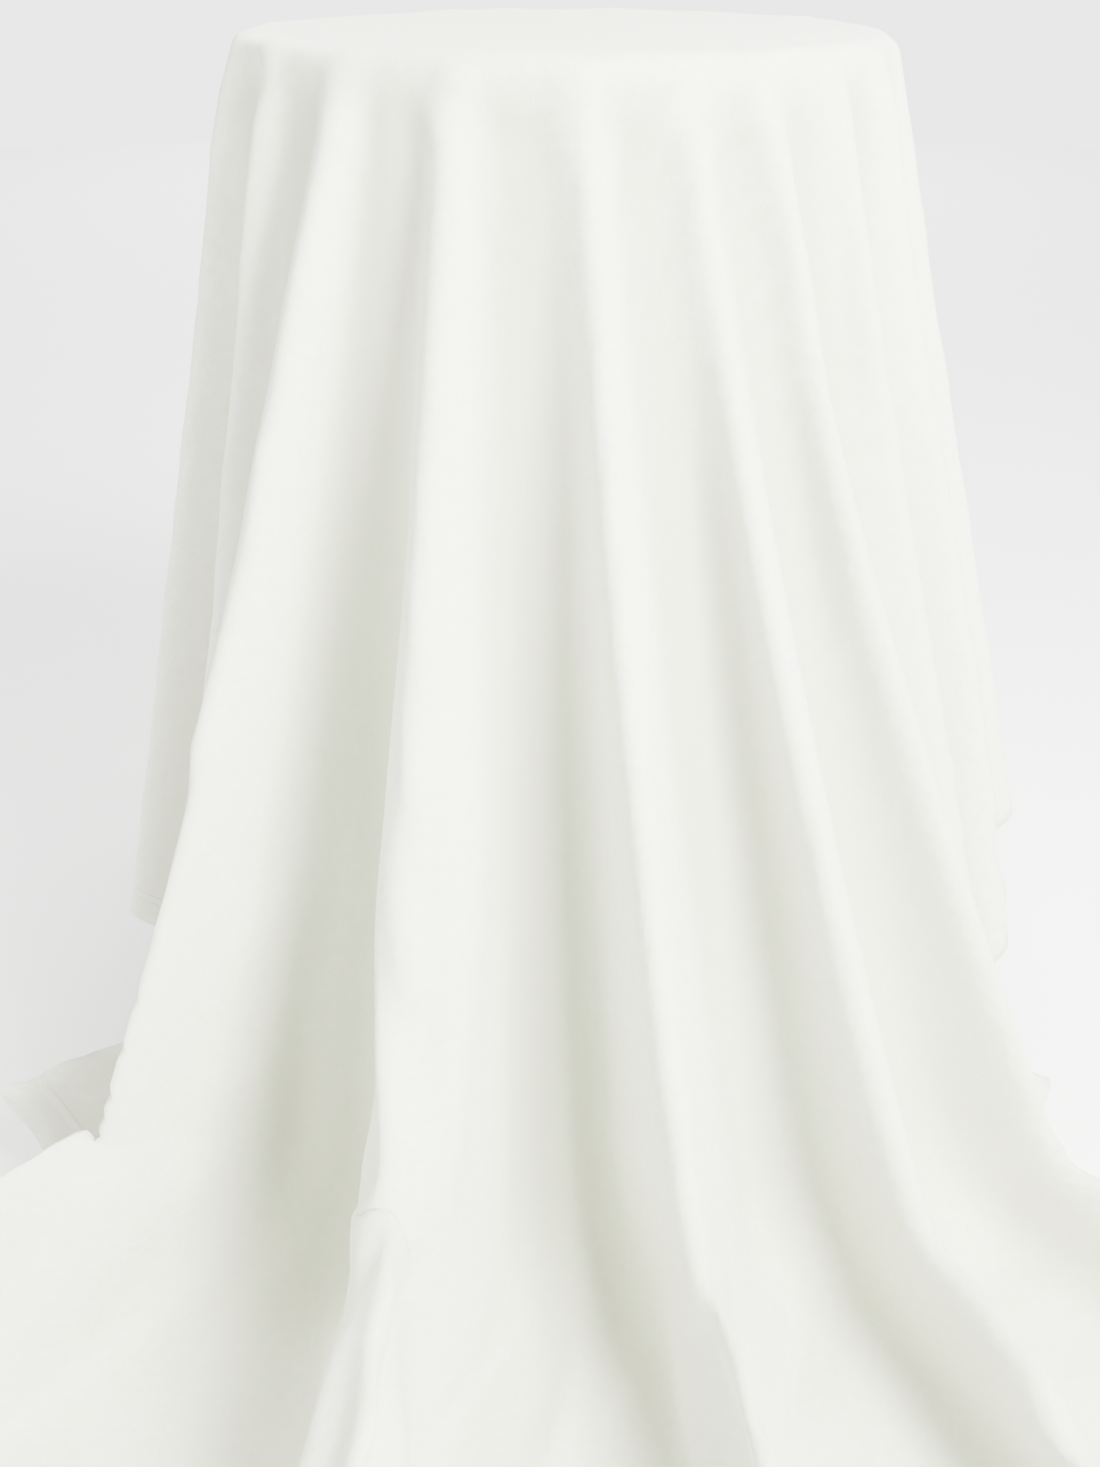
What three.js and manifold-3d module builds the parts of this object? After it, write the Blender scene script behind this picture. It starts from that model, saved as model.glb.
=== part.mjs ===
// A round high table under a rectangular tablecloth that falls in flutes to the floor.
// Millimetres, +Z up. The origin is on the floor under the middle of the table, and -Y is the front.
import * as THREE from "three";
import { mergeVertices } from "three/addons/utils/BufferGeometryUtils.js";
import Module from "manifold-3d";

const wasm = await Module();
wasm.setup();

// Clearances
const gap = 0.3; // between pieces that touch
const rimGap = 1; // the cloth's turn over the rim stands this far off the edging

// Table top
const tableHeight = 1067;
const topDiameter = 610;
const boardThickness = 18;
const edgingThickness = 3;
const edgingRound = 2.5; // radius of the edging's two rounded corners
const rimSides = 60;

// Spider that carries the top, and its wood screws
const spiderReach = 150;
const spiderArmWidth = 34;
const spiderThickness = 5;
const spiderBossDepth = 30;
const spiderArms = 4;
const screwRadii = [75, 135]; // distances of the screws from the middle
const screwShank = 2.25;
const screwHead = 4.6;
const screwHeadHeight = 3;
const screwBite = 12; // length in the board

// Column and tie rod
const columnDiameter = 76;
const columnWall = 2.5;
const rodRadius = 5;
const rodGrip = 22; // length of rod screwed into the spider
const rodTail = 3; // length of rod below its nut
const nutAcrossFlats = 17;
const nutHeight = 8;
const washerRadius = 15;
const washerThickness = 2;

// Cross base
const baseReach = 280; // middle to a levelling glide
const baseArms = 4;
const baseArmWidth = 34;
const baseArmEndDepth = 30;
const baseHubHeight = 95;
const baseHubRadius = 52;
const spigotHeight = 12;
const counterboreRadius = 18;
const counterboreDepth = 16;

// Levelling glides
const stemRadius = 5;
const stemInset = 2; // the stem's top below the arm's top
const footRadius = 19;
const footHeight = 6;
const padFloor = 5;
const padLip = 3; // height of the pad's lip round the foot
const padWall = 2;
const jamNutAcrossFlats = 17;
const jamNutHeight = 6;

// Cloth
const clothWidth = 2286; // left to right
const clothLength = 3353; // front to back
const clothThickness = 1.5;
const floorGap = 0.5; // under the cloth that lies on the floor
const meanFlare = 12.5; // degrees from upright, halfway between a ridge and a valley
const foldFlare = 7.5; // degrees that a ridge leans out, and a valley in, from the mean
const floorBend = 80; // radius of the turn from the fall to the floor
const floorLift = 28; // height of a ridge where it runs on along the floor
const floorLiftFade = 0.8; // share of that height lost along the corners' run
const longestRun = 650; // cloth lying on the floor at a corner
const columnsPerFold = 6;
const clothRings = 11;
// Each ridge's direction at the rim and at the floor: degrees from the front, to the right.
const ridges = [
  [-90, -92], [-73, -76], [-57, -58], [-36, -36], [-16, -14], [1, 12], [18, 35],
  [32, 54], [53, 71], [72, 84], [90, 97], [109, 111], [129, 129], [149, 147],
  [169, 168], [189, 191], [209, 213], [229, 231], [249, 249],
];

// Places worked out from the sizes
const rimRadius = topDiameter / 2;
const boardRadius = rimRadius - edgingThickness - gap;
const boardBottom = tableHeight - boardThickness;
const spiderTop = boardBottom - gap;
const spiderBottom = spiderTop - spiderThickness;
const bossBottom = spiderBottom - spiderBossDepth;
const columnRadius = columnDiameter / 2;
const columnBore = columnRadius - columnWall;
const plugRadius = columnBore - gap; // what fits inside the column's ends
const footBottom = padFloor + gap;
const footTop = footBottom + footHeight;
const jamNutBottom = footTop + gap;
const armUnder = jamNutBottom + jamNutHeight + gap;
const armEndTop = armUnder + baseArmEndDepth;
const washerTop = armUnder + counterboreDepth - gap;
const nutTop = washerTop - washerThickness - gap;
const rodHole = rodRadius + gap;

const plywood = new THREE.MeshStandardMaterial({ color: 0xc9a876, roughness: 0.7, metalness: 0 });
const edgingVinyl = new THREE.MeshStandardMaterial({ color: 0x5a4636, roughness: 0.5, metalness: 0 });
const blackIron = new THREE.MeshStandardMaterial({ color: 0x1d1d1f, roughness: 0.55, metalness: 0.4 });
const blackSteel = new THREE.MeshStandardMaterial({ color: 0x232326, roughness: 0.4, metalness: 0.6 });
const zincSteel = new THREE.MeshStandardMaterial({ color: 0xb4b6b8, roughness: 0.35, metalness: 0.9 });
const nylon = new THREE.MeshStandardMaterial({ color: 0x2b2b2b, roughness: 0.6, metalness: 0 });
const ivoryCloth = new THREE.MeshStandardMaterial({ color: 0xf0efe6, roughness: 0.95, metalness: 0 });

const table = new THREE.Group();
const radians = THREE.MathUtils.degToRad;

// A closed three.js mesh as a solid, and the solid back as a mesh.
function solid(geometry) {
  const bare = geometry.index ? geometry.toNonIndexed() : geometry.clone();
  bare.deleteAttribute("normal");
  bare.deleteAttribute("uv");
  const merged = mergeVertices(bare, 1e-4);
  return new wasm.Manifold(new wasm.Mesh({
    numProp: 3,
    vertProperties: merged.attributes.position.array,
    triVerts: new Uint32Array(merged.index.array),
  }));
}

function geometryOf(body) {
  const mesh = body.getMesh();
  const geometry = new THREE.BufferGeometry();
  geometry.setAttribute("position", new THREE.BufferAttribute(mesh.vertProperties, 3));
  geometry.setIndex(new THREE.BufferAttribute(mesh.triVerts, 1));
  geometry.computeVertexNormals();
  return geometry;
}

function add(name, geometry, material, parent = table) {
  const mesh = new THREE.Mesh(geometry, material);
  mesh.name = name;
  parent.add(mesh);
  return mesh;
}

// A solid of revolution about Z from [radius, height] points.
function turned(points, sides = 20) {
  const profile = points.map(([radius, height]) => new THREE.Vector2(radius, height));
  return new THREE.LatheGeometry(profile, sides).rotateX(Math.PI / 2);
}

function rod(radius, bottom, top, sides = 16) {
  return turned([[0, bottom], [radius, bottom], [radius, top], [0, top]], sides);
}

function ring(inner, outer, bottom, top, sides = 20) {
  const section = [[inner, bottom], [outer, bottom], [outer, top], [inner, top], [inner, bottom]];
  return turned(section, sides);
}

function hexNut(acrossFlats, hole, bottom, height) {
  const corner = acrossFlats / 2 / Math.cos(Math.PI / 6);
  const corners = [0, 1, 2, 3, 4, 5].map((side) => (side * Math.PI) / 3);
  const outline = new THREE.Shape(
    corners.map((angle) => new THREE.Vector2(corner * Math.cos(angle), corner * Math.sin(angle))),
  );
  const block = new THREE.ExtrudeGeometry(outline, { depth: height, bevelEnabled: false });
  block.translate(0, 0, bottom);
  return geometryOf(solid(block).subtract(solid(rod(hole, bottom - 1, bottom + height + 1))));
}

// A side view in [radius, height], given a width and stood on the XZ plane, then turned about Z.
function web(points, width, angle) {
  const outline = new THREE.Shape(points.map(([radius, height]) => new THREE.Vector2(radius, height)));
  const plate = new THREE.ExtrudeGeometry(outline, { depth: width, bevelEnabled: false });
  return plate.rotateX(Math.PI / 2).translate(0, width / 2, 0).rotateZ(angle);
}

function screwPlaces() {
  const places = [];
  for (let arm = 0; arm < spiderArms; arm++) {
    const angle = (arm * 2 * Math.PI) / spiderArms;
    for (const radius of screwRadii) {
      places.push([radius * Math.cos(angle), radius * Math.sin(angle)]);
    }
  }
  return places;
}

function addTop() {
  let board = solid(rod(boardRadius, boardBottom, tableHeight, rimSides));
  for (const [x, y] of screwPlaces()) {
    const pilot = rod(screwShank + gap, boardBottom - 1, boardBottom + screwBite + gap, 10);
    board = board.subtract(solid(pilot.translate(x, y, 0)));
  }
  add("table_top", geometryOf(board), plywood);

  const corner = (middle, from) => [0, 1, 2].map((step) => {
    const angle = from + (step * Math.PI) / 4;
    return [
      rimRadius - edgingRound + edgingRound * Math.cos(angle),
      middle + edgingRound * Math.sin(angle),
    ];
  });
  const inner = boardRadius + gap;
  add("edge_moulding", turned([
    [inner, boardBottom],
    ...corner(boardBottom + edgingRound, -Math.PI / 2),
    ...corner(tableHeight - edgingRound, 0),
    [inner, tableHeight],
    [inner, boardBottom],
  ], rimSides), edgingVinyl);
}

function addSpider() {
  let spider = solid(rod(columnRadius + edgingRound, spiderBottom, spiderTop, 32));
  spider = spider.add(solid(rod(plugRadius, bossBottom, spiderTop, 32)));
  for (let arm = 0; arm < spiderArms; arm++) {
    const angle = (arm * 2 * Math.PI) / spiderArms;
    const side = [[0, spiderBottom], [spiderReach, spiderBottom], [spiderReach, spiderTop], [0, spiderTop]];
    spider = spider.add(solid(web(side, spiderArmWidth, angle)));
  }
  spider = spider.subtract(solid(rod(rodHole, bossBottom - 1, bossBottom + rodGrip + gap)));
  for (const [x, y] of screwPlaces()) {
    const hole = rod(screwShank + gap, spiderBottom - 1, spiderTop + 1, 10);
    spider = spider.subtract(solid(hole.translate(x, y, 0)));
  }
  add("top_spider", geometryOf(spider), blackIron);

  const headTop = spiderBottom - gap;
  screwPlaces().forEach(([x, y], i) => {
    const screw = turned([
      [0, headTop - screwHeadHeight],
      [screwHead * 0.7, headTop - screwHeadHeight],
      [screwHead, headTop - screwHeadHeight / 2],
      [screwHead, headTop],
      [screwShank, headTop],
      [screwShank, boardBottom + screwBite - screwShank],
      [0, boardBottom + screwBite],
    ], 10);
    add(`spider_screw_${i + 1}`, screw.translate(x, y, 0), zincSteel);
  });
}

function addColumn() {
  const foot = baseHubHeight + gap;
  const head = spiderBottom - gap;
  add("column_tube", ring(columnBore, columnRadius, foot, head, 32), blackSteel);
  add("tie_rod", rod(rodRadius, nutTop - nutHeight - rodTail, bossBottom + rodGrip), zincSteel);
  add("rod_washer", ring(rodHole, washerRadius, washerTop - washerThickness, washerTop), zincSteel);
  add("rod_nut", hexNut(nutAcrossFlats, rodHole, nutTop - nutHeight, nutHeight), zincSteel);
}

function addBase() {
  let base = solid(turned([
    [0, armUnder],
    [baseHubRadius, armUnder],
    [baseHubRadius, baseHubHeight - edgingRound],
    [baseHubRadius - edgingRound, baseHubHeight],
    [plugRadius, baseHubHeight],
    [plugRadius, baseHubHeight + spigotHeight],
    [0, baseHubHeight + spigotHeight],
  ], 32));
  const endRadius = baseArmWidth / 2 + 3;
  for (let arm = 0; arm < baseArms; arm++) {
    const angle = ((arm + 0.5) * 2 * Math.PI) / baseArms;
    const side = [
      [baseHubRadius / 2, armUnder],
      [baseReach, armUnder],
      [baseReach, armEndTop - 1],
      [baseHubRadius / 2, baseHubHeight - 2 * edgingRound],
    ];
    base = base.add(solid(web(side, baseArmWidth, angle)));
    const x = baseReach * Math.cos(angle);
    const y = baseReach * Math.sin(angle);
    base = base.add(solid(rod(endRadius, armUnder, armEndTop, 20).translate(x, y, 0)));
    const bore = rod(stemRadius + gap, armUnder - 1, armEndTop + 1);
    base = base.subtract(solid(bore.translate(x, y, 0)));
  }
  base = base.subtract(solid(rod(rodHole, armUnder - 1, baseHubHeight + spigotHeight + 1)));
  base = base.subtract(solid(rod(counterboreRadius, armUnder - 1, armUnder + counterboreDepth, 20)));
  add("cross_base", geometryOf(base), blackIron);
}

function addGlides() {
  const padRadius = footRadius + gap + padWall;
  const lipTop = padFloor + padLip;
  for (let arm = 0; arm < baseArms; arm++) {
    const angle = ((arm + 0.5) * 2 * Math.PI) / baseArms;
    const corner = new THREE.Group();
    corner.position.set(baseReach * Math.cos(angle), baseReach * Math.sin(angle), 0);
    table.add(corner);
    add(`glide_pad_${arm + 1}`, turned([
      [0, 0],
      [padRadius - padWall, 0],
      [padRadius, padWall],
      [padRadius, lipTop],
      [footRadius + gap, lipTop],
      [footRadius + gap, padFloor],
      [0, padFloor],
    ]), nylon, corner);
    add(`glide_${arm + 1}`, turned([
      [0, footBottom],
      [footRadius, footBottom],
      [footRadius, footTop - 2],
      [footRadius - 4, footTop],
      [stemRadius, footTop],
      [stemRadius, armEndTop - stemInset],
      [0, armEndTop - stemInset],
    ], 16), zincSteel, corner);
    add(
      `jam_nut_${arm + 1}`,
      hexNut(jamNutAcrossFlats, stemRadius + gap, jamNutBottom, jamNutHeight),
      zincSteel,
      corner,
    );
  }
}

// The ridges, with the nearest one led to each corner of the cloth.
function clothRidges() {
  const cornerAngle = THREE.MathUtils.radToDeg(Math.atan2(clothWidth, clothLength));
  const led = ridges.map((ridge) => [...ridge]);
  for (const angle of [-cornerAngle, cornerAngle, 180 - cornerAngle, 180 + cornerAngle]) {
    const away = led.map(([, floor]) => Math.abs(floor - angle));
    led[away.indexOf(Math.min(...away))][1] = angle;
  }
  return led;
}

// Columns of the cloth run from the rim to the hem, the same number to each fold.
function clothColumns() {
  const led = clothRidges();
  return led.flatMap(([rim, floor], fold) => {
    const [nextRim, nextFloor] = led[fold + 1] ?? led[0].map((angle) => angle + 360);
    return Array.from({ length: columnsPerFold }, (_, step) => {
      const along = step / columnsPerFold;
      return {
        rim: rim + (nextRim - rim) * along,
        floor: floor + (nextFloor - floor) * along,
        wave: Math.cos(2 * Math.PI * along),
      };
    });
  });
}

// The length of cloth from the middle to the hem in a direction of the flat sheet.
function hemDistance(angle) {
  const across = Math.abs(Math.sin(angle));
  const along = Math.abs(Math.cos(angle));
  return Math.min(clothWidth / 2 / Math.max(across, 1e-6), clothLength / 2 / Math.max(along, 1e-6));
}

// The fall of a column: straight down at its flare, a turn at the floor, then out along the floor.
function fallOf(column) {
  const flare = radians(meanFlare + foldFlare * column.wave);
  const lift = (floorLift * (1 + column.wave)) / 2;
  const start = tableHeight - edgingRound;
  const level = floorGap + clothThickness + lift;
  const straight = (start - level - floorBend * (1 - Math.sin(flare))) / Math.cos(flare);
  const turn = floorBend * (Math.PI / 2 - flare);
  return { flare, lift, start, level, straight, turn };
}

// A point on the cloth's outer face, at a length of cloth below the rim.
function fallPoint(column, length) {
  const { flare, lift, start, level, straight, turn } = fallOf(column);
  const down = Math.min(length, straight);
  const swing = flare + THREE.MathUtils.clamp((length - straight) / floorBend, 0, Math.PI / 2 - flare);
  const run = Math.max(length - straight - turn, 0);
  const outerRim = rimRadius + rimGap + clothThickness;
  const radius = outerRim + down * Math.sin(flare)
    + floorBend * (Math.cos(flare) - Math.cos(swing)) + run;
  const fade = lift * floorLiftFade * Math.min(run / longestRun, 1);
  const height = run > 0
    ? level - fade
    : start - down * Math.cos(flare) - floorBend * (Math.sin(swing) - Math.sin(flare));
  const lean = Math.min(length / (straight + turn), 1);
  const angle = radians(column.rim + (column.floor - column.rim) * lean);
  return { angle, radius, height };
}

// The cloth from the rim to the hem along a column, whose direction in the sheet changes as it leans.
function hemLength(column) {
  let length = 0;
  for (let pass = 0; pass < 12; pass++) {
    length = hemDistance(fallPoint(column, length).angle) - rimRadius;
  }
  return length;
}

const onPlan = (angle, radius, height) =>
  new THREE.Vector3(radius * Math.sin(angle), -radius * Math.cos(angle), height);

// Rows of the outer face from the middle of the top to the hem, and the same rows on the inner face.
function clothFaces(columns) {
  const outer = [];
  const inner = [];
  for (const share of [0.5, 0.93]) {
    const row = (height) => columns.map(({ rim }) => onPlan(radians(rim), rimRadius * share, height));
    outer.push(row(tableHeight + gap + clothThickness));
    inner.push(row(tableHeight + gap));
  }
  for (const angle of [90, 45, 0].map(radians)) {
    const row = (thickness) => columns.map(({ rim }) => onPlan(
      radians(rim),
      rimRadius - edgingRound + (edgingRound + rimGap + thickness) * Math.cos(angle),
      tableHeight - edgingRound + (edgingRound + gap + thickness) * Math.sin(angle),
    ));
    outer.push(row(clothThickness));
    inner.push(row(0));
  }
  const lengths = columns.map(hemLength);
  const falls = [outer.at(-1)];
  for (let ringNumber = 1; ringNumber <= clothRings; ringNumber++) {
    const share = ringNumber / clothRings;
    falls.push(columns.map((column, i) => {
      const { angle, radius, height } = fallPoint(column, lengths[i] * share);
      return onPlan(angle, radius, height);
    }));
  }
  for (let r = 1; r < falls.length; r++) {
    outer.push(falls[r]);
    inner.push(falls[r].map((point, i) => {
      const above = falls[r - 1][i];
      const below = (falls[r + 1] ?? falls[r])[i];
      const before = falls[r][(i + columns.length - 1) % columns.length];
      const after = falls[r][(i + 1) % columns.length];
      const normal = below.clone().sub(above).cross(after.clone().sub(before)).normalize();
      return point.clone().addScaledVector(normal, -clothThickness);
    }));
  }
  return { outer, inner };
}

function addCloth() {
  const columns = clothColumns();
  const { outer, inner } = clothFaces(columns);
  const count = columns.length;
  const rows = outer.length;
  const middleTop = new THREE.Vector3(0, 0, tableHeight + gap + clothThickness);
  const middleUnder = new THREE.Vector3(0, 0, tableHeight + gap);
  const points = [middleTop, ...outer.flat(), middleUnder, ...inner.flat()];
  const outerAt = (row, i) => 1 + row * count + (i % count);
  const innerAt = (row, i) => 2 + (rows + row) * count + (i % count);
  const triangles = [];
  const quad = (a, b, c, d) => triangles.push(a, b, c, a, c, d);
  for (let i = 0; i < count; i++) {
    triangles.push(0, outerAt(0, i), outerAt(0, i + 1));
    triangles.push(rows * count + 1, innerAt(0, i + 1), innerAt(0, i));
    for (let row = 0; row < rows - 1; row++) {
      quad(outerAt(row, i), outerAt(row + 1, i), outerAt(row + 1, i + 1), outerAt(row, i + 1));
      quad(innerAt(row, i), innerAt(row, i + 1), innerAt(row + 1, i + 1), innerAt(row + 1, i));
    }
    quad(outerAt(rows - 1, i), innerAt(rows - 1, i), innerAt(rows - 1, i + 1), outerAt(rows - 1, i + 1));
  }
  const geometry = new THREE.BufferGeometry().setFromPoints(points);
  geometry.setIndex(triangles);
  geometry.computeVertexNormals();
  add("tablecloth", geometry, ivoryCloth);
}

addTop();
addSpider();
addColumn();
addBase();
addGlides();
addCloth();

export default table;
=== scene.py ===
import math
import bmesh
import bpy
import numpy as np
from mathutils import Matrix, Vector


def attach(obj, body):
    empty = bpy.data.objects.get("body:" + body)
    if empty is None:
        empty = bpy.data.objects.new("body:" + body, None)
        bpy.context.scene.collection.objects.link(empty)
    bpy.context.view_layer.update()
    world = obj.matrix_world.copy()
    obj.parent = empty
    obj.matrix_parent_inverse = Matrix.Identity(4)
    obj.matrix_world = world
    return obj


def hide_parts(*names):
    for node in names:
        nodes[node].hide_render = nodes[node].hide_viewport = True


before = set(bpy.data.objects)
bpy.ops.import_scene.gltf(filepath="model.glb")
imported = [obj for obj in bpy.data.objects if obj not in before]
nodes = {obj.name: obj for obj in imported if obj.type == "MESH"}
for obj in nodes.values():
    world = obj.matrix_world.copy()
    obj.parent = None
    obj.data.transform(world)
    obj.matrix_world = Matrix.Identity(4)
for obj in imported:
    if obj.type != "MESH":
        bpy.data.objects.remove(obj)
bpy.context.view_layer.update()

print("frame loaded,", len(nodes), "nodes")


camera = {"lens": 41.7, "sensor": 36, "place": (-0.011, -1.746, 1.187), "tilt": 26.3}
cameraData = bpy.data.cameras.new("camera")
cameraData.lens = camera["lens"]
cameraData.sensor_width = camera["sensor"]
cameraData.sensor_fit = "AUTO"
cameraData.clip_start = 0.02
cameraObject = bpy.data.objects.new("camera", cameraData)
bpy.context.collection.objects.link(cameraObject)
cameraObject.location = camera["place"]
cameraObject.rotation_euler = (math.radians(90 - camera["tilt"]), 0, 0)
bpy.context.scene.camera = cameraObject

studio = {
    "floorRadius": 8, "floorColour": (0.93, 0.93, 0.925, 1), "skyColour": (1, 1, 1, 1), "skyStrength": 0.75,
    "seenSky": 3.8,
    # name, watts, size, place, aim
    "lamps": [("keyLamp", 1120, 1.4, (2.0, -2.4, 2.8), (0, 0, 0.5)),
              ("fillLamp", 130, 1.6, (-2.4, -1.6, 1.2), (0, 0, 0.5)),
              ("topLamp", 130, 2.2, (0.2, 0.5, 3.4), (0, 0, 1)),
              ("backLamp", 1500, 6, (0, 7, 5), (0, 6, 0))],
}


def aimAt(lamp, target):
    lamp.rotation_euler = (Vector(target) - lamp.location).to_track_quat("-Z", "Y").to_euler()


def addLamps():
    world = bpy.data.worlds.new("studioSky")
    bpy.context.scene.world = world
    world.use_nodes = True
    sky = world.node_tree.nodes["Background"]
    sky.inputs["Color"].default_value = studio["skyColour"]
    # the sky looks paler than it lights
    seen = world.node_tree.nodes.new("ShaderNodeLightPath")
    strength = world.node_tree.nodes.new("ShaderNodeMapRange")
    strength.inputs["To Min"].default_value = studio["skyStrength"]
    strength.inputs["To Max"].default_value = studio["seenSky"]
    world.node_tree.links.new(seen.outputs["Is Camera Ray"], strength.inputs["Value"])
    world.node_tree.links.new(strength.outputs["Result"], sky.inputs["Strength"])
    for name, watts, size, place, aim in studio["lamps"]:
        lampData = bpy.data.lights.new(name, "AREA")
        lampData.energy, lampData.size = watts, size
        lamp = bpy.data.objects.new(name, lampData)
        bpy.context.collection.objects.link(lamp)
        lamp.location = place
        aimAt(lamp, aim)


def only(piece):
    bpy.ops.object.select_all(action="DESELECT")
    piece.select_set(True)
    bpy.context.view_layer.objects.active = piece


def addFloor():
    bpy.ops.object.select_all(action="DESELECT")
    bpy.ops.mesh.primitive_circle_add(vertices=160, radius=studio["floorRadius"], fill_type="NGON")
    floor = bpy.context.object
    floor.name = "studioFloor"
    bpy.ops.object.transform_apply(location=True, rotation=True, scale=True)
    finish = bpy.data.materials.new("floorPaper")
    finish.use_nodes = True
    shader = finish.node_tree.nodes["Principled BSDF"]
    shader.inputs["Base Color"].default_value = studio["floorColour"]
    shader.inputs["Roughness"].default_value = 0.9
    floor.data.materials.append(finish)
    return floor


addLamps()
floor = addFloor()
print("camera, floor and light")


cloth = {
    "width": 2.286, "length": 3.353, "thickness": 0.001,
    "fine": 0.018, "coarse": 0.032, "fineOut": 0.42,      # spacing of the grid near the middle and beyond it
    "rimRadius": 0.305, "rimHeight": 1.067, "onTop": 0.0015,
    "rimRound": 0.006, "offRim": 0.0045,
    # direction at the rim, at the floor and at the hem, then flare: degrees, 0 is the front
    "folds": [(-90, -91, -91, 9), (-71, -71, -71, 9), (-54, -52, -50, 11), (-35.4, -39.5, -34, 20),
              (-16, -10, -9, 20.5), (2, 12, 11, 20.5), (17.3, 30, 24, 20), (29.5, 46, 31, 19),
              (46.5, 57, 47, 15),
              (64, 68, 66, 15), (81, 84, 84, 16), (98, 99, 99, 15), (114, 114, 114, 15), (131, 131, 131, 16),
              (148, 147, 147, 17), (166, 165, 165, 17), (184, 184, 184, 17), (202, 203, 203, 17),
              (220, 221, 221, 17), (237, 237, 237, 14), (254, 253, 253, 12)],
    "bend": 0.1, "reach": 1.1, "full": 1.75, "ripple": 0.38, "footRadius": 0.66,
    "gatherFrom": 0.78, "gather": 0.83,
    "swings": [(146, 10), (-146, -10)],                   # the back corners are turned in behind the table
    "swingFrom": 0.9, "swingOver": 0.6, "swingWidth": 20,
    "crestLift": 0.011, "crestFade": 0.3, "offFloor": 0.005, "restsAt": 0.0035,
}


def waveAt(place):
    return np.cos(2 * np.pi * place) + cloth["ripple"] * np.cos(4 * np.pi * place)


# length along one fold, for a row of steepnesses, and how that length is shared out across the fold
def foldTables():
    place = np.linspace(0, 1, 401)
    steep = np.linspace(0, 9, 181)
    middle = (place[:-1] + place[1:]) / 2
    slope = np.sin(2 * np.pi * middle) + 2 * cloth["ripple"] * np.sin(4 * np.pi * middle)
    step = np.sqrt(1 + (steep[:, None] * slope) ** 2) * np.diff(place)
    along = np.concatenate([np.zeros((len(steep), 1)), np.cumsum(step, 1)], 1)
    return place, steep, along[:, -1], along / along[:, -1:]


foldPlace, foldSteep, foldLength, foldShare = foldTables()


def placeInFold(steep, share):
    level = np.clip(steep / foldSteep[-1] * (len(foldSteep) - 1), 0, len(foldSteep) - 1.001)
    low = level.astype(int)
    part = level - low
    place = np.empty_like(share)
    for row in np.unique(low):
        here = low == row
        before = np.interp(share[here], foldShare[row], foldPlace)
        after = np.interp(share[here], foldShare[row + 1], foldPlace)
        place[here] = before + (after - before) * part[here]
    return place


def findFold(angle, drop):
    folds = np.array(cloth["folds"], float)
    folds = np.vstack([folds, folds[0] + (360, 360, 360, 0)])
    lean = np.clip(drop / cloth["reach"], 0, 1)
    late = np.clip((drop - cloth["reach"]) / (cloth["full"] - cloth["reach"]), 0, 1)
    late = late * late * (3 - 2 * late)
    left, right = np.zeros_like(angle), np.ones_like(angle)
    flareLeft, flareRight = np.zeros_like(angle), np.zeros_like(angle)
    share, found = angle.copy(), np.zeros(angle.shape, bool)
    for this, after in zip(folds[:-1], folds[1:]):
        a = this[0] + (this[1] - this[0]) * lean + (this[2] - this[1]) * late
        b = after[0] + (after[1] - after[0]) * lean + (after[2] - after[1]) * late
        for turn in (-360, 0, 360):
            here = (angle + turn >= a) & (angle + turn < b) & ~found
            left[here], right[here] = a[here], b[here]
            flareLeft[here], flareRight[here] = this[3], after[3]
            share[here] = ((angle + turn - a) / (b - a))[here]
            found |= here
    return share, left, right, flareLeft, flareRight


def centreLine(length, flare, foot):
    bend = cloth["bend"]
    straight = (cloth["rimHeight"] - foot - bend * (1 - np.sin(flare))) / np.cos(flare)
    down = np.minimum(length, straight)
    swing = flare + np.clip((length - straight) / bend, 0, np.pi / 2 - flare)
    run = np.maximum(length - straight - bend * (np.pi / 2 - flare), 0)
    radius = cloth["rimRadius"] + down * np.sin(flare) + bend * (np.cos(flare) - np.cos(swing)) + run
    height = cloth["rimHeight"] - down * np.cos(flare) - bend * (np.sin(swing) - np.sin(flare))
    return radius, height, swing


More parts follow.
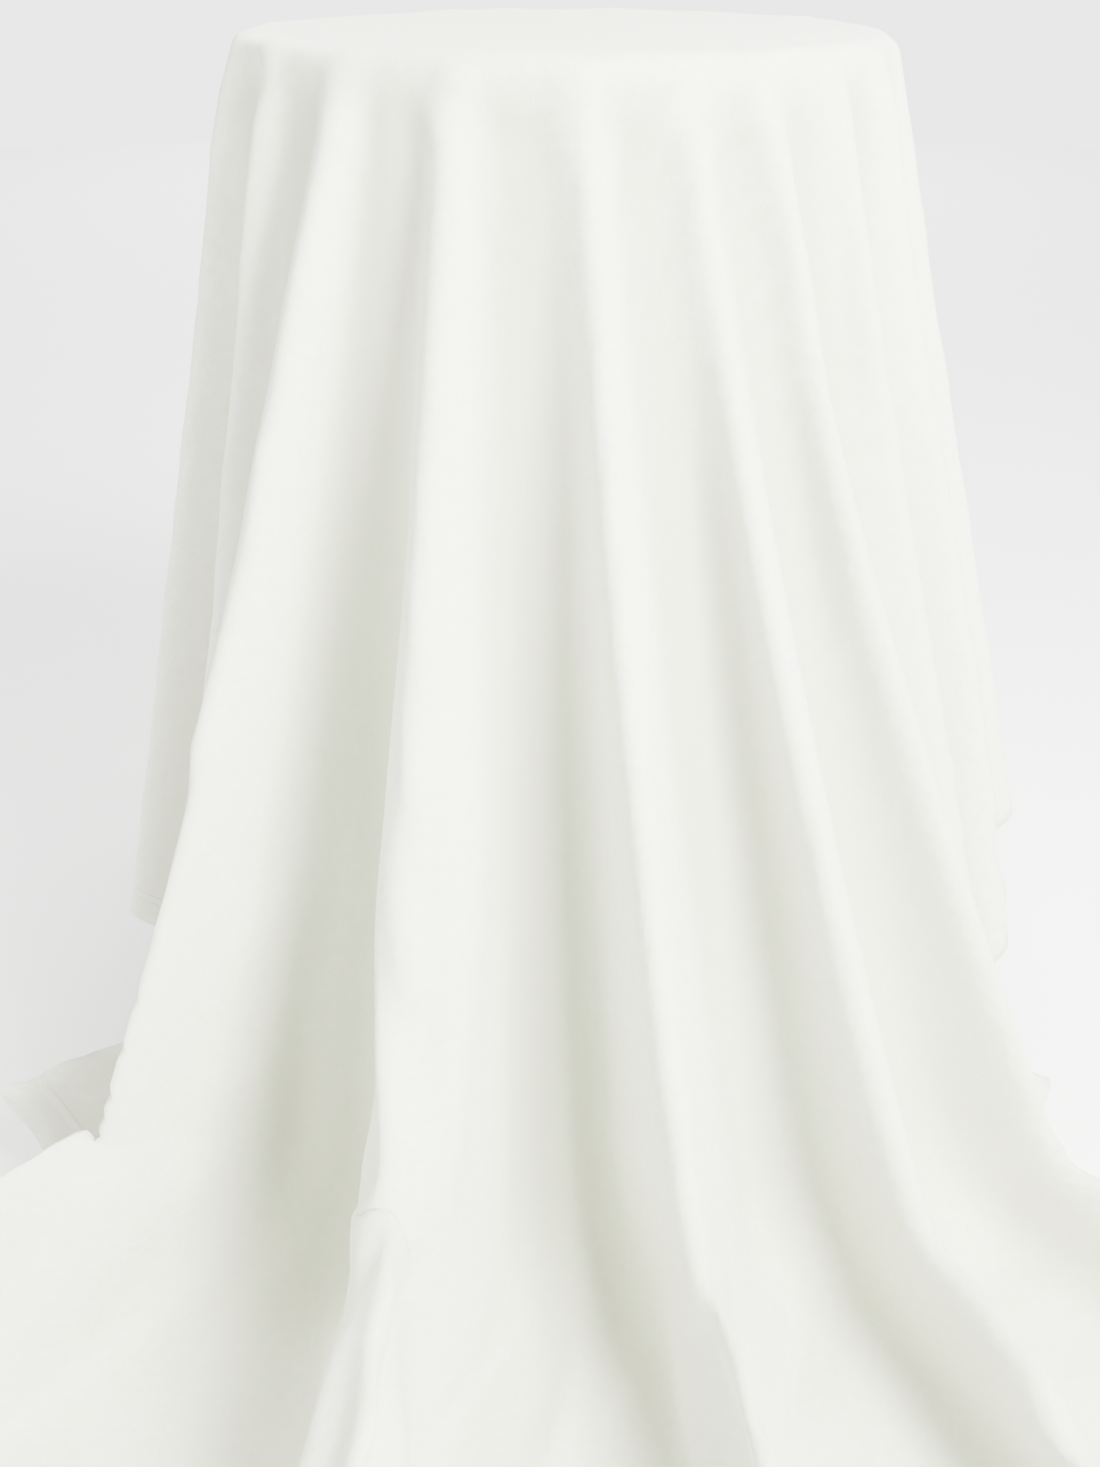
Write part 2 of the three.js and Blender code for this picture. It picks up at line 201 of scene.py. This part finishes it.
# where the flat cloth's points hang: flutes that open from the rim to the floor and nearly keep its lengths
def hangCloth(x, y):
    rim, top = cloth["rimRadius"], cloth["rimHeight"]
    reach = np.hypot(x, y)
    angle = np.degrees(np.arctan2(x, -y))
    drop = np.maximum(reach - rim, 0)
    share, left, right, flareLeft, flareRight = findFold(angle, drop)
    sector = np.radians(right - left)
    flare = np.radians(flareLeft + (flareRight - flareLeft) * share * share * (3 - 2 * share))

    def heightOf(flat, radius):
        steep = np.interp(flat / radius, foldLength, foldSteep)
        return steep * sector * radius / (2 * np.pi), steep

    foot = heightOf(1.5 + 0 * reach, cloth["footRadius"] + 0 * reach)[0] * 0.75
    radius, height, swing = centreLine(drop, flare, foot)
    steep = heightOf(np.maximum(reach, radius), radius)[1]
    place = placeInFold(steep, share)
    wave = waveAt(place)
    # each point goes down its own line of the fold until the line's length is the cloth's
    stride = 0.015
    used, at, settled = np.zeros_like(drop), np.full_like(drop, 2.6), drop <= 0
    lastX, lastZ = rim + 0 * drop, top + 0 * drop
    for far in np.arange(stride, 2.6, stride):
        radius, height, swing = centreLine(far + 0 * drop, flare, foot)
        tall = heightOf(np.maximum(rim + far, radius), radius)[0]
        nextX, nextZ = radius + tall * wave * np.cos(swing), height + tall * wave * np.sin(swing)
        step = np.hypot(nextX - lastX, nextZ - lastZ)
        here = ~settled & (used + step >= drop)
        at[here] = (far - stride + stride * (drop - used) / np.maximum(step, 1e-9))[here]
        settled |= here
        used, lastX, lastZ = used + step, nextX, nextZ
    radius, height, swing = centreLine(at, flare, foot)
    tall = heightOf(np.maximum(rim + at, radius), radius)[0]
    radius, height = radius + tall * wave * np.cos(swing), height + tall * wave * np.sin(swing)
    # past gatherFrom from the middle the train is drawn in, so it is shorter than the cloth's own length
    train = np.maximum(radius - cloth["gatherFrom"], 0)
    radius = np.minimum(radius, cloth["gatherFrom"]) + train * cloth["gather"]
    turn = np.radians(left + (right - left) * place)
    late = np.clip((drop - cloth["swingFrom"]) / cloth["swingOver"], 0, 1)
    for centre, swung in cloth["swings"]:
        apart = (angle - centre + 180) % 360 - 180
        turn = turn + (np.radians(swung) * late * late * (3 - 2 * late)
                       * np.exp(-(apart / cloth["swingWidth"]) ** 2))
    flat = reach <= rim
    height = np.maximum(height + cloth["onTop"], cloth["offFloor"])
    hung = np.stack([np.where(flat, x, radius * np.sin(turn)), np.where(flat, y, -radius * np.cos(turn)),
                     np.where(flat, top + cloth["onTop"], height)], 1)
    # crests stand out from just under the rim, and hollow says how far inside a fold a point is
    crest = np.clip(wave, 0, 1.3) * np.clip((drop + 0.006) / 0.03, 0, 1)
    crest *= np.clip(1 - drop / cloth["crestFade"], 0, 1) ** 2 * cloth["crestLift"]
    hollow = np.clip((0.35 - wave) / 0.9, 0, 1) * np.clip((drop - 0.012) / 0.03, 0, 1)
    hollow *= np.clip(1.9 - drop, 0, 1) * np.clip(1.6 - drop, 0.25, 1)
    return hung, crest, hollow


def gridLines(half):
    inside = np.linspace(0, cloth["fineOut"], round(cloth["fineOut"] / cloth["fine"]) + 1)
    outside = np.linspace(cloth["fineOut"], half, round((half - cloth["fineOut"]) / cloth["coarse"]) + 1)[1:]
    line = np.concatenate([inside, outside])
    return np.concatenate([-line[:0:-1], line])


def setPoints(points, places):
    points.foreach_set("co", np.asarray(places, np.float32).ravel())


def pointsOf(mesh):
    places = np.zeros(len(mesh.vertices) * 3, np.float32)
    mesh.vertices.foreach_get("co", places)
    return places.reshape(-1, 3)


def cutCloth():
    acrossLines, alongLines = gridLines(cloth["width"] / 2), gridLines(cloth["length"] / 2)
    bpy.ops.object.select_all(action="DESELECT")
    bpy.ops.mesh.primitive_grid_add(x_subdivisions=len(acrossLines) - 1, y_subdivisions=len(alongLines) - 1,
                                    size=1, location=(0, 0, 0))
    piece = bpy.context.object
    piece.name = "draped_cloth"
    # the grid's even rows move to the uneven spacing, and the UV map keeps the flat cloth's own places
    even = pointsOf(piece.data)
    x = acrossLines[np.rint((even[:, 0] + 0.5) * (len(acrossLines) - 1)).astype(int)]
    y = alongLines[np.rint((even[:, 1] + 0.5) * (len(alongLines) - 1)).astype(int)]
    corner = np.zeros(len(piece.data.loops), np.int32)
    piece.data.loops.foreach_get("vertex_index", corner)
    flatPlace = np.stack([x[corner] / cloth["length"] + 0.5, y[corner] / cloth["length"] + 0.5], 1)
    piece.data.uv_layers[0].data.foreach_set("uv", flatPlace.astype(np.float32).ravel())
    hung, crest, hollow = hangCloth(x, y)
    setPoints(piece.data.vertices, hung)
    inside = piece.data.attributes.new("hollow", "FLOAT", "POINT")
    inside.data.foreach_set("value", hollow.astype(np.float32))
    piece.data.update()
    return piece, np.stack([x, y, np.full_like(x, cloth["rimHeight"])], 1), crest


fall = {
    "frames": 18, "quality": 5, "mass": 0.15, "stretch": 40, "shear": 8, "bending": 0.4,
    "damping": 25, "air": 5,
    "gap": 0.003, "selfGap": 0.004, "topGrip": 60, "floorGrip": 80,
    "coneGrip": 5, "selfGrip": 5, "foldDamping": 0.5,
    "boardDepth": 0.03, "boardRound": 0.004, "coneWidth": 0.34, "coneDepth": 0.8,
}


def solidFor(kind, grip, **shape):
    bpy.ops.object.select_all(action="DESELECT")
    getattr(bpy.ops.mesh, "primitive_%s_add" % kind)(**shape)
    solid = bpy.context.object
    solid.modifiers.new("stop", "COLLISION")
    solid.collision.thickness_outer = 0.002
    solid.collision.cloth_friction = grip
    solid.collision.damping = 0.5
    return solid


def letFall(piece, flat, crest):
    rim, top = cloth["rimRadius"], cloth["rimHeight"]
    board = solidFor("cylinder", fall["topGrip"], vertices=128, radius=rim - 0.001, depth=fall["boardDepth"],
                     location=(0, 0, top - fall["boardDepth"] / 2))
    edge = board.modifiers.new("round", "BEVEL")
    edge.width, edge.segments = fall["boardRound"], 2
    bpy.ops.object.modifier_move_to_index(modifier="round", index=0)
    ground = solidFor("plane", fall["floorGrip"], size=8, location=(0, 0, 0))
    core = solidFor("cone", fall["coneGrip"], vertices=96, radius1=fall["coneWidth"], radius2=rim - 0.003,
                    depth=fall["coneDepth"], location=(0, 0, top - 0.01 - fall["coneDepth"] / 2))
    only(piece)
    piece.shape_key_add(name="hung")
    cut = piece.shape_key_add(name="cut")
    setPoints(cut.data, flat)
    cut.value = 0
    modifier = piece.modifiers.new("fabric", "CLOTH")
    cloths, touching = modifier.settings, modifier.collision_settings
    cloths.quality, cloths.mass = fall["quality"], fall["mass"]
    cloths.tension_stiffness = cloths.compression_stiffness = fall["stretch"]
    cloths.shear_stiffness, cloths.bending_stiffness = fall["shear"], fall["bending"]
    cloths.tension_damping = cloths.compression_damping = cloths.shear_damping = fall["damping"]
    cloths.bending_damping, cloths.air_damping = fall["foldDamping"], fall["air"]
    cloths.rest_shape_key = cut
    touching.distance_min, touching.collision_quality = fall["gap"], 2
    touching.use_self_collision, touching.self_distance_min = True, fall["selfGap"]
    touching.self_friction = fall["selfGrip"]
    modifier.point_cache.frame_start, modifier.point_cache.frame_end = 1, fall["frames"]
    scene = bpy.context.scene
    scene.frame_start, scene.frame_end = 1, fall["frames"]
    for number in range(1, fall["frames"] + 1):
        scene.frame_set(number)
    # the last frame's places are kept, and the simulation is taken away
    rested = pointsOf(piece.evaluated_get(bpy.context.evaluated_depsgraph_get()).data)
    piece.modifiers.remove(modifier)
    piece.shape_key_clear()
    away = rested[:, :2] / np.maximum(np.hypot(rested[:, 0], rested[:, 1]), 1e-6)[:, None]
    rested[:, :2] += away * crest[:, None]
    setPoints(piece.data.vertices, rested)
    scene.frame_set(1)
    for solid in (board, ground, core):
        bpy.data.objects.remove(solid)


def applyAll(piece):
    only(piece)
    for modifier in list(piece.modifiers):
        bpy.ops.object.modifier_apply(modifier=modifier.name)


def distanceFromHem(mesh):
    corner = np.zeros(len(mesh.loops), np.int32)
    mesh.loops.foreach_get("vertex_index", corner)
    flatPlace = np.zeros(len(mesh.loops) * 2, np.float32)
    mesh.uv_layers[0].data.foreach_get("uv", flatPlace)
    places = np.zeros((len(mesh.vertices), 2))
    places[corner] = (flatPlace.reshape(-1, 2) - 0.5) * cloth["length"]
    return np.minimum(cloth["width"] / 2 - np.abs(places[:, 0]), cloth["length"] / 2 - np.abs(places[:, 1]))


hem = {"width": 0.031, "slack": 0.004, "under": 0.0011, "thickness": 0.0009}


# the hem is the turned-under edge: its own strip below the cloth
def makeHem(piece):
    only(piece)
    bpy.ops.object.duplicate()
    strip = bpy.context.object
    strip.name = "cloth_hem"
    inset = distanceFromHem(strip.data)
    shape = bmesh.new()
    shape.from_mesh(strip.data)
    shape.verts.ensure_lookup_table()
    shape.normal_update()
    outward = [point.normal.copy() for point in shape.verts]
    for point, out in zip(shape.verts, outward):
        point.co -= out * hem["under"]
    widest = hem["width"] + hem["slack"]
    away = [face for face in shape.faces if max(inset[point.index] for point in face.verts) > widest]
    bmesh.ops.delete(shape, geom=away, context="FACES")
    shape.to_mesh(strip.data)
    shape.free()
    wall = strip.modifiers.new("wall", "SOLIDIFY")
    wall.thickness, wall.offset = hem["thickness"], -1
    applyAll(strip)
    return strip


# holds the cloth a few millimetres off the floor and the board, and rounds it over the board's edge
def liftOff(piece, lowest):
    places = pointsOf(piece.data).astype(float)
    places[:, 2] = np.maximum(places[:, 2], lowest)
    rim, top, out = cloth["rimRadius"], cloth["rimHeight"], cloth["offRim"] + cloth["rimRound"]
    radius = np.hypot(places[:, 0], places[:, 1])
    past, above = radius - (rim - cloth["rimRound"]), places[:, 2] - (top - cloth["rimRound"])
    around = (past > 0) & (above > 0) & (np.hypot(past, above) < out)
    grow = out / np.maximum(np.hypot(past, above), 1e-6)
    newRadius = np.where(around, rim - cloth["rimRound"] + past * grow, radius)
    newHeight = np.where(around, top - cloth["rimRound"] + above * grow, places[:, 2])
    beside = (above <= 0) & (above > -0.05) & (past > -0.02)
    newRadius = np.where(beside, np.maximum(newRadius, rim + cloth["offRim"]), newRadius)
    newHeight = np.where((past <= 0) & (above > 0), np.maximum(newHeight, top + cloth["offRim"]), newHeight)
    places[:, :2] *= (newRadius / np.maximum(radius, 1e-9))[:, None]
    places[:, 2] = newHeight
    setPoints(piece.data.vertices, places)
    piece.data.update()


tablecloth, flatCloth, crestOut = cutCloth()
print("cloth hung,", len(tablecloth.data.vertices), "points")
letFall(tablecloth, flatCloth, crestOut)
print("cloth has fallen to rest")
smooth = tablecloth.modifiers.new("smooth", "SUBSURF")
smooth.levels = smooth.render_levels = 1
applyAll(tablecloth)
liftOff(tablecloth, cloth["restsAt"])
only(tablecloth)
bpy.ops.object.shade_smooth()
clothHem = makeHem(tablecloth)
wall = tablecloth.modifiers.new("wall", "SOLIDIFY")
wall.thickness, wall.offset = cloth["thickness"], -1
applyAll(tablecloth)
print("cloth finished")


class Finish:
    def __init__(self, name):
        self.material = bpy.data.materials.new(name)
        self.material.use_nodes = True
        self.tree = self.material.node_tree
        self.shader = self.tree.nodes["Principled BSDF"]

    def node(self, kind, **settings):
        made = self.tree.nodes.new("ShaderNode" + kind)
        for key, value in settings.items():
            if hasattr(made, key):
                setattr(made, key, value)
            else:
                made.inputs[key].default_value = value
        return made

    def link(self, source, target):
        self.tree.links.new(source, target)

    def space(self, where="Object", scale=(1, 1, 1), turn=(0, 0, 0)):
        coords, mapping = self.node("TexCoord"), self.node("Mapping")
        mapping.inputs["Scale"].default_value = scale
        mapping.inputs["Rotation"].default_value = turn
        self.link(coords.outputs[where], mapping.inputs["Vector"])
        return mapping.outputs["Vector"]

    def noise(self, space, scale, detail=3, rough=0.5, warp=0):
        made = self.node("TexNoise")
        for key, value in (("Scale", scale), ("Detail", detail), ("Roughness", rough), ("Distortion", warp)):
            made.inputs[key].default_value = value
        self.link(space, made.inputs["Vector"])
        return made.outputs["Fac"]

    def wave(self, space, scale, direction, warp=0, warpScale=1, profile="SIN"):
        made = self.node("TexWave", bands_direction=direction, wave_profile=profile)
        for key, value in (("Scale", scale), ("Distortion", warp), ("Detail", 1),
                           ("Detail Scale", warpScale)):
            made.inputs[key].default_value = value
        self.link(space, made.inputs["Vector"])
        return made.outputs["Fac"]

    def math(self, kind, a, b=0.5, c=None):
        made = self.node("Math", operation=kind)
        for socket, value in zip(made.inputs, (a, b, c)):
            if value is None:
                continue
            if isinstance(value, (int, float)):
                socket.default_value = value
            else:
                self.link(value, socket)
        return made.outputs[0]

    def ramp(self, factor, *stops):
        made = self.node("ValToRGB")
        elements = made.color_ramp.elements
        while len(elements) < len(stops):
            elements.new(0.5)
        for element, (place, colour) in zip(elements, stops):
            element.position = place
            element.color = colour if len(colour) == 4 else (*colour, 1)
        self.link(factor, made.inputs["Fac"])
        return made.outputs["Color"]

    def mix(self, factor, a, b, blend="MIX"):
        made = self.node("Mix", data_type="RGBA", blend_type=blend)
        for socket, value in ((made.inputs["Factor"], factor), (made.inputs["A"], a), (made.inputs["B"], b)):
            if hasattr(value, "links"):
                self.link(value, socket)
            elif isinstance(value, (int, float)):
                socket.default_value = value
            else:
                socket.default_value = (*value, 1)
        return made.outputs["Result"]

    def grade(self, factor, low, high):
        made = self.node("MapRange")
        made.inputs["To Min"].default_value = low
        made.inputs["To Max"].default_value = high
        self.link(factor, made.inputs["Value"])
        return made.outputs["Result"]

    def bump(self, height, strength, distance, under=None):
        made = self.node("Bump")
        made.inputs["Strength"].default_value = strength
        made.inputs["Distance"].default_value = distance
        self.link(height, made.inputs["Height"])
        if under:
            self.link(under, made.inputs["Normal"])
        return made.outputs["Normal"]

    def use(self, colour=None, rough=None, normal=None, **fixed):
        for socket, value in (("Base Color", colour), ("Roughness", rough), ("Normal", normal)):
            if value is None:
                continue
            if hasattr(value, "links"):
                self.link(value, self.shader.inputs[socket])
            else:
                self.shader.inputs[socket].default_value = value
        for key, value in fixed.items():
            self.shader.inputs[key.replace("_", " ")].default_value = value
        return self.material


fabric = {
    "pale": (0.785, 0.80, 0.69), "warm": (0.76, 0.77, 0.635), "shade": (0.66, 0.69, 0.53),
    "thread": (0.85, 0.85, 0.78), "hollow": (0.49, 0.525, 0.365), "threads": 900,
    "stitchIn": 0.027, "stitchWidth": 0.0009,
    "stitch": 0.0044, "hemEdge": 0.031,
}


# the row of stitches that holds the hem: the stitches, the dip they pull and the hem's own step
def hemMarks(made, flat):
    split = made.node("SeparateXYZ")
    made.link(flat, split.inputs["Vector"])
    half = cloth["length"] / 2
    x, y = (made.math("SUBTRACT", split.outputs[axis], half) for axis in "XY")
    inX = made.math("SUBTRACT", cloth["width"] / 2, made.math("ABSOLUTE", x, 0))
    inY = made.math("SUBTRACT", half, made.math("ABSOLUTE", y, 0))
    inset = made.math("MINIMUM", inX, inY)
    offRow = made.math("ABSOLUTE", made.math("SUBTRACT", inset, fabric["stitchIn"]), 0)
    row = made.math("LESS_THAN", offRow, fabric["stitchWidth"])
    along = made.math("FRACT", made.math("DIVIDE", made.math("ADD", x, y), fabric["stitch"]), 0)
    stitches = made.math("MULTIPLY", row, made.math("GREATER_THAN", along, 0.28))
    dip = made.node("MapRange", interpolation_type="SMOOTHSTEP")
    dip.inputs["From Max"].default_value = 0.005
    made.link(offRow, dip.inputs["Value"])
    step = made.node("MapRange", interpolation_type="SMOOTHSTEP")
    for key, value in (("From Min", fabric["hemEdge"]), ("From Max", fabric["hemEdge"] + 0.003),
                       ("To Min", 1), ("To Max", 0)):
        step.inputs[key].default_value = value
    made.link(inset, step.inputs["Value"])
    pucker = made.noise(made.space("UV", (cloth["length"] * 80, cloth["length"] * 80, 1)), 1, 1)
    folded = made.math("ADD", step.outputs["Result"], made.math("MULTIPLY", dip.outputs["Result"], 0.7))
    puckered = made.math("MULTIPLY", pucker, made.math("MULTIPLY", step.outputs["Result"], 0.6))
    folded = made.math("ADD", folded, puckered)
    return stitches, folded


def clothFinish(name):
    made = Finish(name)
    size = cloth["length"]
    flat = made.space("UV", (size, size, 1))
    cloudy = made.noise(flat, 2.2, 3)
    mottled = made.noise(flat, 90, 4, 0.65)
    nap = made.noise(flat, 420, 3, 0.6)
    slubAcross = made.noise(made.space("UV", (size * 14, size * 300, 1)), 1, 2)
    slubAlong = made.noise(made.space("UV", (size * 300, size * 14, 1)), 1, 2)
    across = made.wave(flat, fabric["threads"] * math.pi / 10, "X", 0.6, 60)
    along = made.wave(flat, fabric["threads"] * math.pi / 10, "Y", 0.6, 60)
    weave = made.math("MAXIMUM", across, along)
    colour = made.mix(made.ramp(cloudy, (0.35, (0, 0, 0)), (0.7, (1, 1, 1))), fabric["pale"], fabric["warm"])
    colour = made.mix(made.ramp(mottled, (0.38, (0.5, 0.5, 0.5)), (0.64, (0, 0, 0))), colour, fabric["shade"])
    slubs = made.math("MAXIMUM", made.ramp(slubAcross, (0.6, (0, 0, 0)), (0.72, (0.3, 0.3, 0.3))),
                      made.ramp(slubAlong, (0.6, (0, 0, 0)), (0.72, (0.3, 0.3, 0.3))))
    colour = made.mix(slubs, colour, fabric["thread"])
    gaps = made.ramp(weave, (0.1, (0.3, 0.3, 0.3)), (0.5, (0, 0, 0)))
    colour = made.mix(gaps, colour, fabric["shade"])
    # the insides of the folds are painted darker and greener, on top of the shade that the light gives
    inside = made.node("Attribute", attribute_name="hollow", attribute_type="GEOMETRY")
    colour = made.mix(made.math("MULTIPLY", inside.outputs["Fac"], 0.7), colour, fabric["hollow"])
    height = made.math("ADD", made.math("MULTIPLY", weave, 0.5), made.math("MULTIPLY", nap, 0.6))
    height = made.math("ADD", height, made.math("MULTIPLY", slubs, 0.8))
    stitches, folded = hemMarks(made, flat)
    colour = made.mix(stitches, colour, fabric["thread"])
    height = made.math("ADD", height, stitches)
    normal = made.bump(height, 0.7, 0.0009)
    normal = made.bump(folded, 0.6, 0.0012, normal)
    # soft creases left from folding and handling
    creases = made.noise(made.space("UV", (size * 3.2, size * 1.3, 1), (0, 0, 0.35)), 1.6, 4, 0.55, 0.6)
    normal = made.bump(creases, 0.25, 0.012, normal)
    return made.use(colour, made.grade(mottled, 0.82, 0.96), normal, Sheen_Weight=0.22, Sheen_Roughness=0.45,
                    Specular_IOR_Level=0.18)


def dress(piece, material):
    piece.data.materials.clear()
    piece.data.materials.append(material)


def dressNode(name, material):
    for spot in nodes[name].material_slots:
        spot.material = material
    if not nodes[name].material_slots:
        nodes[name].data.materials.append(material)


clothMaterial = clothFinish("ivoryCotton")
dress(tablecloth, clothMaterial)
dress(clothHem, clothMaterial)


def plywoodFinish():
    made = Finish("birchPlywood")
    grain = made.noise(made.space("Object", (4, 40, 40)), 1.4, 5, 0.6, 0.8)
    rings = made.wave(made.space("Object", (3, 14, 14)), 1.2, "Y", 9, 1.5)
    plies = made.wave(made.space(), 1 / 0.0052 / 20 * 6.28, "Z", 0, 1, "TRI")
    fleck = made.noise(made.space("Object", (30, 260, 260)), 1, 2)
    colour = made.mix(grain, (0.34, 0.215, 0.11), (0.44, 0.30, 0.17))
    colour = made.mix(made.math("MULTIPLY", rings, 0.35), colour, (0.27, 0.16, 0.075))
    colour = made.mix(made.ramp(fleck, (0.6, (0, 0, 0)), (0.75, (0.5, 0.5, 0.5))), colour,
                      (0.21, 0.12, 0.055))
    side = made.node("NewGeometry")
    split = made.node("SeparateXYZ")
    made.link(side.outputs["Normal"], split.inputs["Vector"])
    upright = made.math("LESS_THAN", made.math("ABSOLUTE", split.outputs["Z"], 0), 0.5)
    layers = made.math("MULTIPLY", upright, made.math("GREATER_THAN", plies, 0.5))
    colour = made.mix(layers, colour, (0.15, 0.085, 0.04))
    return made.use(colour, made.grade(grain, 0.42, 0.62),
                    made.bump(made.math("ADD", grain, fleck), 0.25, 0.0006),
                    Specular_IOR_Level=0.4)


def paintFinish(name, colour, worn, rough, pebble, pebbleSize):
    made = Finish(name)
    orange = made.noise(made.space(), pebbleSize, 3)
    dust = made.noise(made.space(), 7, 5, 0.6)
    scuffs = made.noise(made.space("Object", (60, 60, 9)), 1.5, 4, 0.7, 1.2)
    shade = made.mix(made.ramp(dust, (0.4, (0, 0, 0)), (0.75, (0.6, 0.6, 0.6))), colour, worn)
    shade = made.mix(made.ramp(scuffs, (0.66, (0, 0, 0)), (0.72, (0.5, 0.5, 0.5))), shade, worn)
    return made.use(shade, made.grade(dust, rough - 0.08, rough + 0.12), made.bump(orange, pebble, 0.0006),
                    Specular_IOR_Level=0.25)


def zincFinish():
    made = Finish("zincPlate")
    brushed = made.noise(made.space("Object", (400, 400, 60)), 1, 3)
    blotch = made.noise(made.space(), 60, 3)
    colour = made.mix(blotch, (0.36, 0.365, 0.37), (0.46, 0.46, 0.45))
    return made.use(colour, made.grade(brushed, 0.24, 0.46), made.bump(brushed, 0.15, 0.0002), Metallic=1.0)


def nylonFinish(name, colour, lighter):
    made = Finish(name)
    cloudy = made.noise(made.space(), 25, 4)
    fine = made.noise(made.space(), 900, 2)
    scratched = made.noise(made.space("Object", (20, 300, 300)), 1, 3, 0.6)
    shade = made.mix(cloudy, colour, lighter)
    shade = made.mix(made.ramp(scratched, (0.62, (0, 0, 0)), (0.72, (0.4, 0.4, 0.4))), shade, lighter)
    return made.use(shade, made.grade(cloudy, 0.42, 0.6), made.bump(fine, 0.2, 0.0003),
                    Specular_IOR_Level=0.45)


finishes = {
    "plywood": plywoodFinish(),
    "edging": nylonFinish("edgeStrip", (0.035, 0.025, 0.018), (0.06, 0.045, 0.034)),
    "castBlack": paintFinish("castIron", (0.0075, 0.0075, 0.008), (0.022, 0.021, 0.02), 0.6, 0.6, 260),
    "steelBlack": paintFinish("powderCoat", (0.006, 0.006, 0.0065), (0.016, 0.0155, 0.015), 0.45, 0.3, 700),
    "zinc": zincFinish(),
    "nylon": nylonFinish("nylonPad", (0.016, 0.016, 0.017), (0.035, 0.035, 0.035)),
}
nodeFinish = {"table_top": "plywood", "edge_moulding": "edging", "top_spider": "castBlack",
              "cross_base": "castBlack", "column_tube": "steelBlack", "tie_rod": "zinc", "rod_washer": "zinc",
              "rod_nut": "zinc", "spider_screw": "zinc", "jam_nut": "zinc", "glide_pad": "nylon",
              "glide": "zinc"}
for name in nodes:
    if name == "tablecloth":
        continue
    key = max((start for start in nodeFinish if name.startswith(start)), key=len)
    dressNode(name, finishes[nodeFinish[key]])
print("finishes on", len(nodes) - 1, "nodes")


for piece in (tablecloth, clothHem):
    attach(piece, "cloth")
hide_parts("tablecloth")
